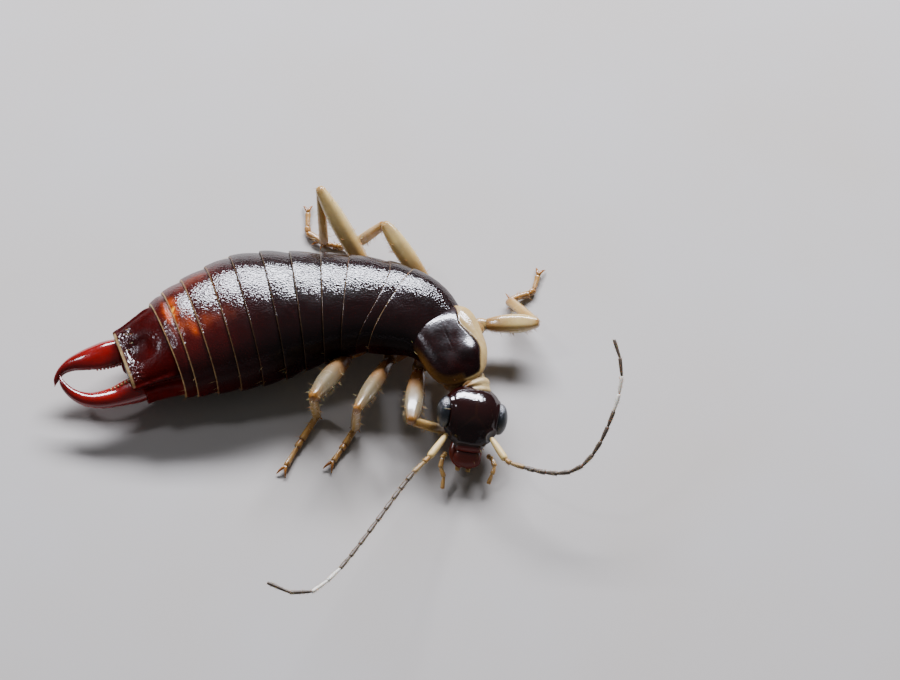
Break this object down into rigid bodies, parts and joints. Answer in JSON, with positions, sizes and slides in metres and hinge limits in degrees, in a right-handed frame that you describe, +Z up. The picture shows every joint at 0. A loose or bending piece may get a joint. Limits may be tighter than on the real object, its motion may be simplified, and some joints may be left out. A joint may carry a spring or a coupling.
{
  "type": "earwig",
  "caption": "Still, life-size wingless male earwig at rest: dark glossy ringed body bent to one side, red bowed forceps, pale legs and long feelers.",
  "frame": {"origin": "middle of the outline seen from above, on the floor under the feet and belly", "axes": "+X along the abdomen towards the head, +Z up, and the animal's left side faces +Y along the abdomen"},
  "size_m": [0.0148, 0.0134, 0.0032],
  "materials": {
    "black_brown_shell": "glossy, finely pitted",
    "dark_red_shell": "glossy, finely wrinkled",
    "blood_red_horn": "polished",
    "eye_lens": "faceted, glossy",
    "neck_skin": "soft, slightly moist",
    "amber_shell": "translucent, glossy",
    "straw_leg": "translucent, glossy",
    "grey_brown_feeler": "satin"
  },
  "bodies": {
    "root": {"abdomen": "black_brown_shell", "antenna_left_middle": "grey_brown_feeler", "antenna_left_root": "grey_brown_feeler", "antenna_left_scape": "grey_brown_feeler", "antenna_left_tip": "grey_brown_feeler", "antenna_right_middle": "grey_brown_feeler", "antenna_right_root": "grey_brown_feeler", "antenna_right_scape": "grey_brown_feeler", "antenna_right_tip": "grey_brown_feeler", "eye_left": "eye_lens", "eye_right": "eye_lens", "forceps_left": "blood_red_horn", "forceps_right": "blood_red_horn", "head": "black_brown_shell", "labrum": "dark_red_shell", "last_segment": "dark_red_shell", "leg_front_left_coxa": "amber_shell", "leg_front_left_femur": "straw_leg", "leg_front_left_tarsus": "amber_shell", "leg_front_left_tibia": "straw_leg", "leg_front_right_coxa": "amber_shell", "leg_front_right_femur": "straw_leg", "leg_front_right_tarsus": "amber_shell", "leg_front_right_tibia": "straw_leg", "leg_hind_left_coxa": "amber_shell", "leg_hind_left_femur": "straw_leg", "leg_hind_left_tarsus": "amber_shell", "leg_hind_left_tibia": "straw_leg", "leg_hind_right_coxa": "amber_shell", "leg_hind_right_femur": "straw_leg", "leg_hind_right_tarsus": "amber_shell", "leg_hind_right_tibia": "straw_leg", "leg_middle_left_coxa": "amber_shell", "leg_middle_left_femur": "straw_leg", "leg_middle_left_tarsus": "amber_shell", "leg_middle_left_tibia": "straw_leg", "leg_middle_right_coxa": "amber_shell", "leg_middle_right_femur": "straw_leg", "leg_middle_right_tarsus": "amber_shell", "leg_middle_right_tibia": "straw_leg", "mandible_left": "dark_red_shell", "mandible_right": "dark_red_shell", "mesothorax": "black_brown_shell", "metathorax": "black_brown_shell", "neck": "neck_skin", "palp_left": "straw_leg", "palp_right": "straw_leg", "pronotum": "black_brown_shell", "prothorax": "amber_shell"}
  },
  "joints": []
}
